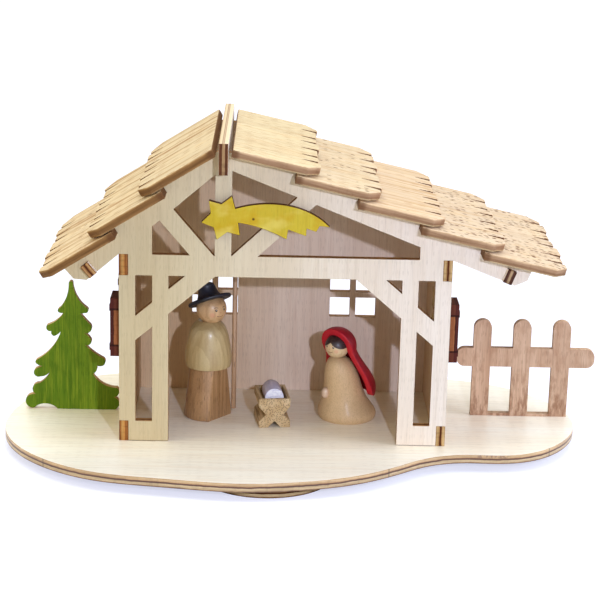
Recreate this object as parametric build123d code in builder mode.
"""Wooden nativity stable cut from thin plywood, with its base, fence, tree and turned figures."""

import os
from math import atan, cos, degrees, radians, sin, tan

from build123d import *

os.makedirs("parts", exist_ok=True)

# Sheet stock
ply = 4.0  # walls, base board, feet, ridge and battens
trim_ply = 3.2  # comet, tree and fence
shingle_ply = 3.6  # roof boards

# House: the doorway's middle on the floor is where its sizes are counted from
half = 71.0  # from the middle to a side wall's outer face
depth = 78.0  # from the front face to the back face
wall_top = 83.8
rail = 9.2  # beam, sills and corner tabs
timber = 7.0  # stiles, king post and rafters
post = 21.2  # a whole corner post, two stiles and the slot between
brace_wide = 8.3
brace_long = 47.0
brace_angle = 40.4
brace_mid = (49.3, 63.7)
strut_wide = 7.6
left_strut_along = 31.8
left_strut_long = 30.0
left_strut_drop = 12.0
right_strut_mid = (-4.75, 95.95)
right_strut_long = 43.5
right_strut_angle = 43.4
tenon_wide = 10.0
side_tenon_wide = 20.0

# Roof
ridge_x = -26.8
apex = 122.0  # where the rafters' lower edges meet
ridge_low = 120.8
ridge_high = 134.2
ridge_gap = 1.1  # between the ridge board and the first roof boards
roof_over = 11.0  # overhang past each gable
tilt = 9.0  # each roof board lies this much flatter than the rafter
left_step = 27.35
right_step = 28.45
left_rows = 3
right_rows = 5
left_rafter = 80.3
right_rafter = 137.8
tail_cut = 4.0
batten_in = 8.0
batten_deep = 6.0
batten_proud = 2.5
board_long = 37.6
shingles = 7
kerf_deep = 10.6
kerf_wide = 3.4
tip_round = 0.9
corner_along = 5.5
corner_across = 7.5

# Windows and shutters
pane = 9.4
bar = 2.7
back_window_x = 32.3
back_window_z = 47.5
side_pane = 11.65
side_window_y = 31.5
side_window_z = 50.1
shutter_wide = 13.0
shutter_high = 26.0
shutter_gap = 1.5
cleat_high = 2.8
cleat_in = 2.8
cleat_proud = 0.35
shutter_thick = 4.1

# Base board and feet
base_rim = [
    (-123.2, 28.0), (-115.5, -6.0), (-99.0, -26.0), (-78.0, -38.6), (-50.0, -44.6), (-18.0, -48.8),
    (8.0, -45.6), (30.0, -38.2), (49.5, -25.2), (63.5, -14.6), (80.0, -10.0), (93.5, -10.2),
    (107.0, -7.0), (118.0, 1.2), (126.6, 13.4), (132.6, 36.0), (122.5, 67.0), (100.0, 88.0),
    (55.0, 97.5), (-5.0, 99.5), (-55.0, 98.5), (-90.0, 90.0), (-115.0, 60.0),
]
foot_radius = 30.0
foot_spots = {"front": (-7.0, -14.5), "left": (-half - 5.0, depth - 30.0), "right": (half + 13.0, depth - 33.0)}

# Comet: a six-pointed star whose sixth point runs out into the tail
star_mid = (-26.3, 101.0)
star_outer = 9.9
star_inner = 6.1
star_turn = 12.0
comet_top = [(-7.0, 107.4), (9.0, 104.2), (18.1, 98.0)]
comet_flames = [(13.9, 98.4), (12.4, 95.8), (8.4, 97.2), (8.2, 93.9), (0.6, 96.6), (0.0, 92.3)]
comet_belly = (-9.7, 96.6)

# Fence
fence_y = 42.3
fence_gap = 8.0  # from the right wall to the rail's end
fence_long = 63.0
picket_in = 11.5  # from the rail's end to the first picket's middle
picket_pitch = 18.05
picket_wide = 8.0
picket_high = 45.7
fence_rail_low = 23.6
fence_rail_high = 8.8
fence_strip = 1.2
fence_tenon = 26.0

# Tree
tree_y = 40.5
tree_gap = 25.0  # from the left wall to the tree's trunk
tree_tenon_in = 6.0

# Standing figure
stand_x, stand_y, stand_turn = -33.8, 36.6, 51.0
robe_low, robe_top, robe_high = 10.85, 8.4, 23.8
robe_flat = 7.1
robe_round = 2.0
cape_high = 44.9
cape_hem, cape_rim, cape_rim_z = 10.1, 10.4, 25.0
cape_chest, cape_chest_z = 9.65, 34.4
cape_shoulder, cape_shoulder_z = 7.4, 42.1
cape_neck = 4.8
man_head = 6.8
man_head_z = 50.5
man_head_fore = 1.5
hat_fore = 0.6
brim_radius = 10.0
brim_thick = 1.6
brim_z = 53.2
brim_tilt = 27.6
hat_turn = 39.0
crown_rings = [(8.2, 1.3), (5.6, 2.2), (4.6, 4.4)]  # radius and rise over the brim
crown_tip = 2.4
crown_tip_x = -34.5
crown_z = 62.0
staff_x, staff_y = -22.2, 38.0
staff_radius = 1.1
staff_low, staff_high = 3.0, 68.0

# Kneeling figure
kneel_x, kneel_y, kneel_turn = 29.4, 38.2, -40.0
bow_turn = -60.0
bow = 6.0  # how far the head is bent over towards the manger
gown_rings = [(0.0, 12.5), (2.4, 13.3), (8.0, 11.0), (16.0, 8.5), (23.5, 7.05), (27.4, 5.2), (29.2, 3.4)]
kneel_head = 5.5
kneel_head_z = 34.2
scarf_thick = 3.3
hood_in = 0.5  # how far the veil starts inside the round of the hood
rim_fore = 2.2  # how far the hood's rim stands before the middle of the head, at the crown
rim_slant = 18.6
veil_low = 11.4
veil_round = 4.0
veil_rings = [(25.0, 10.5, 1.8, 2.3), (17.0, 13.2, 2.3, 4.4), (10.0, 12.7, 2.3, 4.5)]  # height, radius, shift
hand_z = 12.9
hand_wide = 3.7
hand_high = 5.2
hand_reach = 9.6

# Manger and infant
manger_x, manger_y, manger_turn = -3.4, 20.3, 7.0
manger_half = 7.0
manger_high = 13.4
manger_long = 20.7
manger_waist, manger_waist_z = 3.9, 6.0
manger_side_z = 9.7
manger_foot = 2.9
trough_wall = 1.5
trough_floor = 9.6
infant_radius = 4.2
infant_axis = 13.4
infant_long = 13.0
infant_gap = 0.5
infant_head = 2.8

# Middle of the whole set, counted from the doorway, and the floor's height over the table
mid_x = 9.32
mid_y = 25.41
floor = 2 * ply

tree_x = -half - tree_gap
fence_left = half + fence_gap
fence_right = fence_left + fence_long
picket_x = [fence_left + picket_in + i * picket_pitch for i in range(3)]
pitch = {-1: atan((apex - wall_top) / (half + ridge_x)), 1: atan((apex - wall_top) / (half - ridge_x))}
step = {-1: left_step, 1: right_step}
rows = {-1: left_rows, 1: right_rows}
rafter = {-1: left_rafter, 1: right_rafter}
side_name = {-1: "left", 1: "right"}
roof_long = depth + 2 * roof_over
stile_in = half - post + timber


def spot(x, y, z):
    """A place counted from the doorway's middle on the floor."""
    return (x - mid_x, y - mid_y, z + floor)


def upright(y):
    """An upright plane that faces the front."""
    return Plane(origin=spot(0, y, 0), x_dir=(1, 0, 0), z_dir=(0, -1, 0))


def sideways(x):
    """An upright plane that faces the right."""
    return Plane(origin=spot(x, 0, 0), x_dir=(0, 1, 0), z_dir=(1, 0, 0))


def level(z):
    """A level plane over the floor."""
    return Plane(origin=spot(0, 0, z))


def turned(x, y, z, turn):
    """A level plane turned about the vertical, its front towards -Y before the turn."""
    return Plane(origin=spot(x, y, z), x_dir=(cos(radians(turn)), sin(radians(turn)), 0), z_dir=(0, 0, 1))


def facing(x, y, turn, back=0.0):
    """An upright plane that faces the way a turned piece faces, set back from its place."""
    a = radians(turn)
    return Plane(
        origin=spot(x - back * sin(a), y + back * cos(a), 0),
        x_dir=(cos(a), sin(a), 0),
        z_dir=(sin(a), -cos(a), 0),
    )


def profile(x, y, turn):
    """An upright plane through a turned piece, its X towards the piece's back."""
    a = radians(turn)
    return Plane(origin=spot(x, y, 0), x_dir=(-sin(a), cos(a), 0), z_dir=(cos(a), sin(a), 0))


def on_slope(side, along, high):
    """A gable point: so far down a slope from the ridge, so high over the rafter's lower edge."""
    a = pitch[side]
    x = ridge_x + side * (along * cos(a) + high * sin(a))
    return (x, apex - along * sin(a) + high * cos(a))


def seat_start(side, row):
    """How far down the slope a roof board's upper end lies."""
    a = pitch[side]
    return (ply / 2 + ridge_gap - timber * sin(a)) / cos(a) + row * step[side]


def slope_edge(side):
    """The stepped top and the cut tail of one rafter, from the ridge down and back to the wall."""
    points = []
    rise = radians(tilt)
    for row in range(rows[side]):
        start = seat_start(side, row)
        last = row == rows[side] - 1
        run = (rafter[side] - start) / cos(rise) if last else step[side] * cos(rise)
        points.append(on_slope(side, start, timber))
        points.append(on_slope(side, start + run * cos(rise), timber + run * sin(rise)))
    points.append(on_slope(side, rafter[side], tail_cut))
    points.append(on_slope(side, rafter[side] - tail_cut, 0))
    points.append((side * half, wall_top))
    return points


def corner(side):
    """One lower corner of a gable wall, notched for a side wall's two tabs."""
    inner = side * (half - ply)
    outer = side * half
    return [
        (inner, wall_top), (inner, wall_top - rail), (outer, wall_top - rail),
        (outer, rail), (inner, rail), (inner, 0),
    ]


gable = slope_edge(1) + corner(1) + list(reversed(corner(-1))) + list(reversed(slope_edge(-1)))


def batten_mid(side):
    """Middle of an eave batten's section in the gable."""
    return on_slope(side, rafter[side] - batten_in, batten_deep / 2)


def batten_turn(side):
    """Angle of an eave batten's section in the gable."""
    return -side * degrees(pitch[side])


def save(builder, name):
    builder.part.label = name
    export_step(builder.part, f"parts/{name}.step")


# Front wall: the frame's timbers, left over when the openings are cut from the sheet
with BuildPart() as front_wall:
    with BuildSketch(upright(0)):
        with BuildLine():
            Polyline(*gable, close=True)
        make_face()
        with Locations((0, (wall_top - rail) / 2)):
            Rectangle(2 * (half - post), wall_top - rail, mode=Mode.SUBTRACT)
        for side in (-1, 1):
            with Locations((side * (half - post / 2), wall_top / 2)):
                Rectangle(post - 2 * timber, wall_top - 2 * rail, mode=Mode.SUBTRACT)
        gable_side = half - timber - (post - 2 * timber)
        with BuildLine():
            Polyline(
                (-gable_side, wall_top),
                (-gable_side, apex - (ridge_x + gable_side) * tan(pitch[-1])),
                (ridge_x, apex),
                (gable_side, apex - (gable_side - ridge_x) * tan(pitch[1])),
                (gable_side, wall_top),
                close=True,
            )
        make_face(mode=Mode.SUBTRACT)
        for side in (-1, 1):
            with Locations((side * brace_mid[0], brace_mid[1])):
                Rectangle(brace_long, brace_wide, rotation=-side * brace_angle)
            with Locations((side * (half - post / 2), -ply / 2)):
                Rectangle(tenon_wide, ply)
        with Locations((ridge_x, (wall_top + ridge_low) / 2)):
            Rectangle(timber, ridge_low - wall_top + 2 * timber)
        with Locations(on_slope(-1, left_strut_along, -left_strut_drop)):
            Rectangle(left_strut_long, strut_wide, rotation=90 + degrees(pitch[-1]))
        with Locations(right_strut_mid):
            Rectangle(right_strut_long, strut_wide, rotation=right_strut_angle)
        with Locations((ridge_x, (ridge_low + ridge_high) / 2)):
            Rectangle(ply, ridge_high - ridge_low, mode=Mode.SUBTRACT)
        for side in (-1, 1):
            with Locations(batten_mid(side)):
                Rectangle(ply, batten_deep, rotation=batten_turn(side), mode=Mode.SUBTRACT)
    extrude(amount=-ply)
save(front_wall, "front_wall")

# Back wall: the same gable left closed, with two barred windows
with BuildPart() as back_wall:
    with BuildSketch(upright(depth - ply)):
        with BuildLine():
            Polyline(*gable, close=True)
        make_face()
        for side in (-1, 1):
            with Locations((side * back_window_x, back_window_z)):
                with GridLocations(pane + bar, pane + bar, 2, 2):
                    Rectangle(pane, pane, mode=Mode.SUBTRACT)
            with Locations((side * (half - post / 2), -ply / 2)):
                Rectangle(tenon_wide, ply)
            with Locations(batten_mid(side)):
                Rectangle(ply, batten_deep, rotation=batten_turn(side), mode=Mode.SUBTRACT)
        with Locations((ridge_x, (ridge_low + ridge_high) / 2)):
            Rectangle(ply, ridge_high - ridge_low, mode=Mode.SUBTRACT)
    extrude(amount=-ply)
save(back_wall, "back_wall")

# Side walls: tabs at all four corners, a barred window and a tenon in the base
for side in (-1, 1):
    with BuildPart() as side_wall:
        with BuildSketch(sideways(side * half)):
            with Locations((depth / 2, wall_top / 2)):
                Rectangle(depth - 2 * ply, wall_top)
            for tab_z in (rail / 2, wall_top - rail / 2):
                with Locations((depth / 2, tab_z)):
                    Rectangle(depth, rail)
            with Locations((depth / 2, -ply / 2)):
                Rectangle(side_tenon_wide, ply)
            with Locations((side_window_y, side_window_z)):
                with GridLocations(side_pane + bar, pane + bar, 2, 2):
                    Rectangle(side_pane, pane, mode=Mode.SUBTRACT)
        extrude(amount=-side * ply)
    save(side_wall, f"{side_name[side]}_wall")

# Ridge board in the slots of both gables
with BuildPart() as ridge_board:
    with BuildSketch(upright(-roof_over)):
        with Locations((ridge_x, (ridge_low + ridge_high) / 2)):
            Rectangle(ply, ridge_high - ridge_low)
    extrude(amount=-roof_long)
save(ridge_board, "ridge_board")

# Eave battens let into the lower edges of the rafter tails
for side in (-1, 1):
    with BuildPart() as batten:
        with BuildSketch(upright(-batten_proud)):
            with Locations(batten_mid(side)):
                Rectangle(ply, batten_deep, rotation=batten_turn(side))
        extrude(amount=-(depth + 2 * batten_proud))
    save(batten, f"{side_name[side]}_batten")


def shingle_outline(row):
    """A roof board seen from above, its lower edge sawn into uneven shingles."""
    wide = roof_long / shingles
    cuts = [(i - shingles / 2) * wide + 1.6 * sin(2.3 * i + 1.9 * row) for i in range(1, shingles)]
    tips = [board_long - 0.6 + 0.6 * sin(4.1 * i + 2.7 * row) for i in range(shingles)]
    points = [(0, -roof_long / 2), (tips[0] - corner_along, -roof_long / 2)]
    points.append((tips[0], corner_across - roof_long / 2))
    for cut, before, after in zip(cuts, tips[:-1], tips[1:]):
        points.append((before, cut - kerf_wide / 2))
        points.append((board_long - kerf_deep, cut))
        points.append((after, cut + kerf_wide / 2))
    points.append((tips[-1], roof_long / 2 - corner_across))
    points.append((tips[-1] - corner_along, roof_long / 2))
    points.append((0, roof_long / 2))
    return points


# Roof boards, each in its own step of the gables
for side in (-1, 1):
    fall = pitch[side] - radians(tilt)
    for row in range(rows[side]):
        seat_x, seat_z = on_slope(side, seat_start(side, row), timber)
        seat = Plane(
            origin=spot(seat_x, depth / 2, seat_z),
            x_dir=(side * cos(fall), 0, -sin(fall)),
            z_dir=(side * sin(fall), 0, cos(fall)),
        )
        with BuildPart() as board:
            with BuildSketch(seat) as plan:
                with BuildLine():
                    Polyline(*shingle_outline(row + 3 * side), close=True)
                make_face()
                fillet([v for v in plan.vertices() if v.X > board_long - 0.5 * kerf_deep], radius=tip_round)
            extrude(amount=shingle_ply)
        save(board, f"{side_name[side]}_shingles_{row + 1}")

# Base board with a mortise for every tenon
with BuildPart() as base_board:
    with BuildSketch(level(-ply)):
        with BuildLine():
            Spline(*base_rim, periodic=True)
        make_face()
        for side in (-1, 1):
            for wall_y in (ply / 2, depth - ply / 2):
                with Locations((side * (half - post / 2), wall_y)):
                    Rectangle(tenon_wide, ply, mode=Mode.SUBTRACT)
            with Locations((side * (half - ply / 2), depth / 2)):
                Rectangle(ply, side_tenon_wide, mode=Mode.SUBTRACT)
        with Locations((picket_x[1], fence_y + trim_ply / 2)):
            Rectangle(fence_tenon, trim_ply, mode=Mode.SUBTRACT)
        with Locations((tree_x + tree_tenon_in, tree_y + trim_ply / 2)):
            Rectangle(side_tenon_wide, trim_ply, mode=Mode.SUBTRACT)
    extrude(amount=ply)
save(base_board, "base_board")

# Round feet under the base
for name, (foot_x, foot_y) in foot_spots.items():
    with BuildPart() as foot:
        with BuildSketch(level(-2 * ply)):
            with Locations((foot_x, foot_y)):
                Circle(foot_radius)
        extrude(amount=ply)
    save(foot, f"foot_{name}")


def star_point(number, radius):
    """A point or a notch of the star."""
    a = radians(star_turn + 30 * number)
    return (star_mid[0] + radius * cos(a), star_mid[1] + radius * sin(a))


# Comet on the front of the king post and the right strut
with BuildPart() as comet:
    with BuildSketch(upright(0)):
        star = [star_point(n, star_inner if n % 2 else star_outer) for n in range(1, 12)]
        with BuildLine():
            tail_top = Spline(star[0], *comet_top)
            flames = Polyline(tail_top @ 1, *comet_flames)
            ThreePointArc(flames @ 1, comet_belly, star[-1])
            Polyline(*star)
        make_face()
    extrude(amount=trim_ply)
save(comet, "comet")

# Spruce tree: hollow-curved boughs with rounded tips, each arc as middle point and end point
tree_start = (-0.95, 59.3)
tree_foot = (-6.5, 0.0)
tree_arcs = [
    ((0.0, 60.4), (0.95, 59.3)), ((2.6, 53.4), (7.2, 48.0)), ((7.7, 46.6), (6.2, 45.7)),
    ((5.2, 45.5), (4.1, 45.5)), ((6.2, 42.9), (8.7, 40.2)), ((9.1, 37.8), (5.7, 36.5)),
    ((7.4, 35.2), (8.7, 33.6)), ((9.0, 31.8), (5.7, 31.3)), ((9.8, 27.4), (14.3, 24.5)),
    ((15.1, 21.9), (13.2, 20.7)), ((12.3, 20.7), (11.4, 21.0)), ((11.1, 18.2), (9.6, 16.9)),
    ((13.6, 12.6), (20.6, 10.5)), ((21.5, 8.3), (18.8, 6.1)), ((20.1, 5.5), (21.1, 4.6)),
    ((21.4, 2.0), (19.5, 0.0)),
]
tree_left_arcs = [
    ((-11.5, 2.4), (-17.2, 0.4)), ((-21.1, 3.8), (-18.6, 6.6)), ((-17.3, 6.9), (-16.3, 6.8)),
    ((-17.9, 9.2), (-14.8, 12.0)), ((-11.7, 14.6), (-9.8, 17.7)), ((-11.8, 15.9), (-14.3, 15.3)),
    ((-17.2, 17.3), (-15.8, 19.2)), ((-14.3, 19.8), (-12.9, 20.5)), ((-14.4, 20.5), (-15.6, 21.2)),
    ((-16.4, 22.2), (-15.7, 23.3)), ((-8.9, 29.0), (-4.8, 36.8)),
    ((-6.2, 35.4), (-7.8, 34.6)), ((-9.0, 35.6), (-9.0, 36.9)), ((-11.2, 38.0), (-10.9, 39.7)),
    ((-6.5, 42.0), (-3.4, 45.5)), ((-4.5, 45.5), (-5.6, 45.8)), ((-6.0, 46.8), (-5.0, 47.8)),
    ((-2.2, 52.6), tree_start),
]
with BuildPart() as spruce_tree:
    with BuildSketch(Plane(origin=spot(tree_x, tree_y, 0), x_dir=(1, 0, 0), z_dir=(0, -1, 0))):
        with BuildLine():
            here = tree_start
            for middle, end in tree_arcs:
                ThreePointArc(here, middle, end)
                here = end
            Line(here, tree_foot)
            here = tree_foot
            for middle, end in tree_left_arcs:
                ThreePointArc(here, middle, end)
                here = end
        make_face()
        with Locations((tree_tenon_in, -ply / 2)):
            Rectangle(side_tenon_wide, ply)
    extrude(amount=-trim_ply)
save(spruce_tree, "spruce_tree")

# Picket fence: round-topped pickets, a rail with round ends and a low strip over the tenon
with BuildPart() as picket_fence:
    with BuildSketch(upright(fence_y)):
        for x in picket_x:
            with Locations((x, (picket_high - picket_wide / 2) / 2)):
                Rectangle(picket_wide, picket_high - picket_wide / 2)
            with Locations((x, picket_high - picket_wide / 2)):
                Circle(picket_wide / 2)
        with Locations(((fence_left + fence_right) / 2, fence_rail_low + fence_rail_high / 2)):
            RectangleRounded(fence_right - fence_left, fence_rail_high, 0.42 * fence_rail_high)
        with Locations((picket_x[1], fence_strip / 2)):
            Rectangle(picket_x[2] - picket_x[0], fence_strip)
        with Locations((picket_x[1], -ply / 2)):
            Rectangle(fence_tenon, ply)
    extrude(amount=-trim_ply)
save(picket_fence, "picket_fence")

# Shutters folded open beside the side windows, each with two cleats across its outer face
shutter_reach = side_pane + bar / 2 + shutter_gap + shutter_wide / 2
for side in (-1, 1):
    for end, name in ((-1, "front"), (1, "back")):
        with BuildPart() as shutter:
            with BuildSketch(sideways(side * half)):
                with Locations((side_window_y + end * shutter_reach, side_window_z)):
                    Rectangle(shutter_wide, shutter_high)
            extrude(amount=side * shutter_thick)
            with BuildSketch(sideways(side * (half + shutter_thick))):
                with Locations((side_window_y + end * shutter_reach, side_window_z)):
                    with GridLocations(0, shutter_high - 2 * cleat_in - cleat_high, 1, 2):
                        Rectangle(shutter_wide, cleat_high)
            extrude(amount=side * cleat_proud)
        save(shutter, f"{side_name[side]}_shutter_{name}")

# Standing figure
stand_axis = Axis(spot(stand_x, stand_y, 0), (0, 0, 1))
man_back = radians(stand_turn)
man_head_x = stand_x + man_head_fore * sin(man_back)
man_head_y = stand_y - man_head_fore * cos(man_back)
man_head_spot = spot(man_head_x, man_head_y, man_head_z)

# Robe: a turned cone with a flat down its front
with BuildPart() as robe:
    with BuildSketch(facing(stand_x, stand_y, stand_turn)):
        with BuildLine():
            Polyline((0, 0), (robe_low - 0.5, 0), (robe_low, 0.5), (robe_top, robe_high), (0, robe_high), close=True)
        make_face()
    revolve(axis=stand_axis)
    with BuildSketch(turned(stand_x, stand_y, 0, stand_turn)):
        with Locations((0, -robe_flat - robe_low)):
            Rectangle(4 * robe_low, 2 * robe_low, mode=Mode.ADD)
    extrude(amount=robe_high, mode=Mode.SUBTRACT)
    upright_edges = [e for e in robe.edges() if e.bounding_box().size.Z > robe_high / 2]
    fillet(upright_edges, radius=robe_round)
save(robe, "robe")

# Cape: a turned shoulder piece, hollowed for the head and grooved for the staff
with BuildPart() as cape:
    with BuildSketch(facing(stand_x, stand_y, stand_turn)):
        with BuildLine():
            hem = Polyline((0, cape_high), (0, robe_high), (cape_hem, robe_high))
            back = Spline(
                hem @ 1, (cape_rim, cape_rim_z), (cape_chest, cape_chest_z),
                (cape_shoulder, cape_shoulder_z), (cape_neck, cape_high),
            )
            Line(back @ 1, (0, cape_high))
        make_face()
    revolve(axis=stand_axis)
    with Locations(man_head_spot):
        Sphere(man_head, mode=Mode.SUBTRACT)
    with Locations(spot(staff_x, staff_y, staff_low)):
        Cylinder(
            staff_radius, staff_high - staff_low, mode=Mode.SUBTRACT,
            align=(Align.CENTER, Align.CENTER, Align.MIN),
        )
save(cape, "cape")

with BuildPart() as man_head_ball:
    with Locations(man_head_spot):
        Sphere(man_head)
save(man_head_ball, "standing_head")

# Hat: a round-edged brim tipped back, a crown that flares into it, hollowed to sit on the head
hat_x = stand_x + hat_fore
hat_back = radians(hat_turn)
tip_back = sin(radians(brim_tilt))
brim = Plane(
    origin=spot(hat_x, stand_y, brim_z),
    x_dir=(cos(hat_back), sin(hat_back), 0),
    z_dir=(-tip_back * sin(hat_back), tip_back * cos(hat_back), cos(radians(brim_tilt))),
)
with BuildPart() as hat:
    with BuildSketch(brim):
        Circle(brim_radius)
    extrude(amount=brim_thick)
    fillet(hat.edges(), radius=0.4 * brim_thick)
    for ring, rise in crown_rings:
        with BuildSketch(brim.offset(rise)):
            Circle(ring)
    with BuildSketch(turned(crown_tip_x, stand_y, crown_z, hat_turn)):
        Circle(crown_tip)
    loft()
    with Locations(man_head_spot):
        Sphere(man_head, mode=Mode.SUBTRACT)
save(hat, "hat")

with BuildPart() as staff:
    with BuildSketch(level(staff_low)):
        with Locations((staff_x, staff_y)):
            Circle(staff_radius)
    extrude(amount=staff_high - staff_low)
save(staff, "staff")

# Kneeling figure: rings stacked along a leaning line
bow_dir = (sin(radians(bow_turn)), -cos(radians(bow_turn)))


def leaning(z):
    """Middle of the kneeling figure at a height."""
    share = bow * max(0.0, z - gown_rings[1][0]) / (kneel_head_z - gown_rings[1][0])
    return (kneel_x + share * bow_dir[0], kneel_y + share * bow_dir[1])


kneel_head_spot = spot(*leaning(kneel_head_z), kneel_head_z)
hand_mid = (leaning(hand_z)[0] + hand_reach * bow_dir[0], leaning(hand_z)[1] + hand_reach * bow_dir[1])

# Hands: one small egg-shaped bead
with BuildPart() as hands:
    with BuildSketch(facing(*hand_mid, bow_turn)):
        with Locations((0, hand_z)):
            Ellipse(hand_wide / 2, hand_high / 2)
            Rectangle(hand_wide, hand_high, align=(Align.MAX, Align.CENTER), mode=Mode.SUBTRACT)
    revolve(axis=Axis(spot(*hand_mid, 0), (0, 0, 1)))
save(hands, "hands")

# Gown, hollowed for the head and the hands
with BuildPart() as gown:
    for ring_z, ring_radius in gown_rings:
        with BuildSketch(level(ring_z)):
            with Locations(leaning(ring_z)):
                Circle(ring_radius)
    loft()
    with Locations(kneel_head_spot):
        Sphere(kneel_head, mode=Mode.SUBTRACT)
    add(hands.part, mode=Mode.SUBTRACT)
save(gown, "gown")

with BuildPart() as kneel_head_ball:
    with Locations(kneel_head_spot):
        Sphere(kneel_head)
save(kneel_head_ball, "kneeling_head")

# Head scarf: a thick hood that widens into a veil behind the back, its rim cut along a slant and its
# inside cut where it lies on the shoulders
hood = kneel_head + scarf_thick
hood_x, hood_y = leaning(kneel_head_z)
rim_slope = tan(radians(rim_slant))
rim_top = kneel_head_z + 2 * hood
rim_foot = (kneel_head_z + kneel_head - veil_low) * rim_slope - rim_fore
rim_head = (kneel_head_z + kneel_head - rim_top) * rim_slope - rim_fore
with BuildPart() as head_scarf:
    for wall, way in ((0, Mode.ADD), (scarf_thick, Mode.SUBTRACT)):
        with BuildSketch(turned(hood_x, hood_y, kneel_head_z, kneel_turn)):
            Circle(hood - wall - hood_in)
        for ring_z, ring_radius, ring_side, ring_back in veil_rings:
            with BuildSketch(turned(hood_x, hood_y, ring_z, kneel_turn)):
                with Locations((ring_side, ring_back)):
                    Circle(ring_radius - wall)
        loft(mode=way)
        with Locations(kneel_head_spot):
            Sphere(hood - wall, mode=way)
    with BuildSketch(profile(hood_x, hood_y, kneel_turn)) as side_view:
        with BuildLine():
            Polyline((rim_head, rim_top), (rim_foot, veil_low), (4 * hood, veil_low), (4 * hood, rim_top), close=True)
        make_face()
        fillet(side_view.vertices().sort_by(Axis.X)[1], radius=veil_round)
    extrude(amount=3 * hood, both=True, mode=Mode.INTERSECT)
    add(gown.part, mode=Mode.SUBTRACT)
save(head_scarf, "head_scarf")

# Manger: a trough on crossed feet, sawn from one block
crib = facing(manger_x, manger_y, manger_turn)
with BuildPart() as manger:
    with BuildSketch(crib):
        with BuildLine():
            Polyline(
                (0, manger_foot), (manger_foot, 0), (manger_half, 0), (manger_half, manger_foot),
                (manger_waist, manger_waist_z), (manger_half, manger_side_z), (manger_half, manger_high), (0, manger_high),
                close=True,
            )
        make_face()
        mirror(about=Plane.YZ)
    extrude(amount=-manger_long)
    with BuildSketch(turned(manger_x, manger_y, manger_high, manger_turn)):
        with Locations((0, manger_long / 2)):
            Rectangle(2 * (manger_half - trough_wall), manger_long - 2 * trough_wall)
    extrude(amount=trough_floor - manger_high, mode=Mode.SUBTRACT)
save(manger, "manger")

# Infant: a round wrapped body, flat underneath, and a small head at the far end
infant_from = trough_wall + infant_gap
infant_a = radians(manger_turn)
infant_head_back = infant_from + infant_long + 0.55 * infant_head
infant_head_spot = spot(
    manger_x - infant_head_back * sin(infant_a),
    manger_y + infant_head_back * cos(infant_a),
    infant_axis + 0.9,
)
with BuildPart() as infant_body:
    with BuildSketch(facing(manger_x, manger_y, manger_turn, infant_from)):
        with Locations((0, infant_axis)):
            Circle(infant_radius)
        with Locations((0, trough_floor)):
            Rectangle(4 * infant_radius, infant_radius, align=(Align.CENTER, Align.MAX), mode=Mode.SUBTRACT)
    extrude(amount=-infant_long)
    with Locations(infant_head_spot):
        Sphere(infant_head, mode=Mode.SUBTRACT)
save(infant_body, "infant_body")

with BuildPart() as infant_head_ball:
    with Locations(infant_head_spot):
        Sphere(infant_head)
save(infant_head_ball, "infant_head")
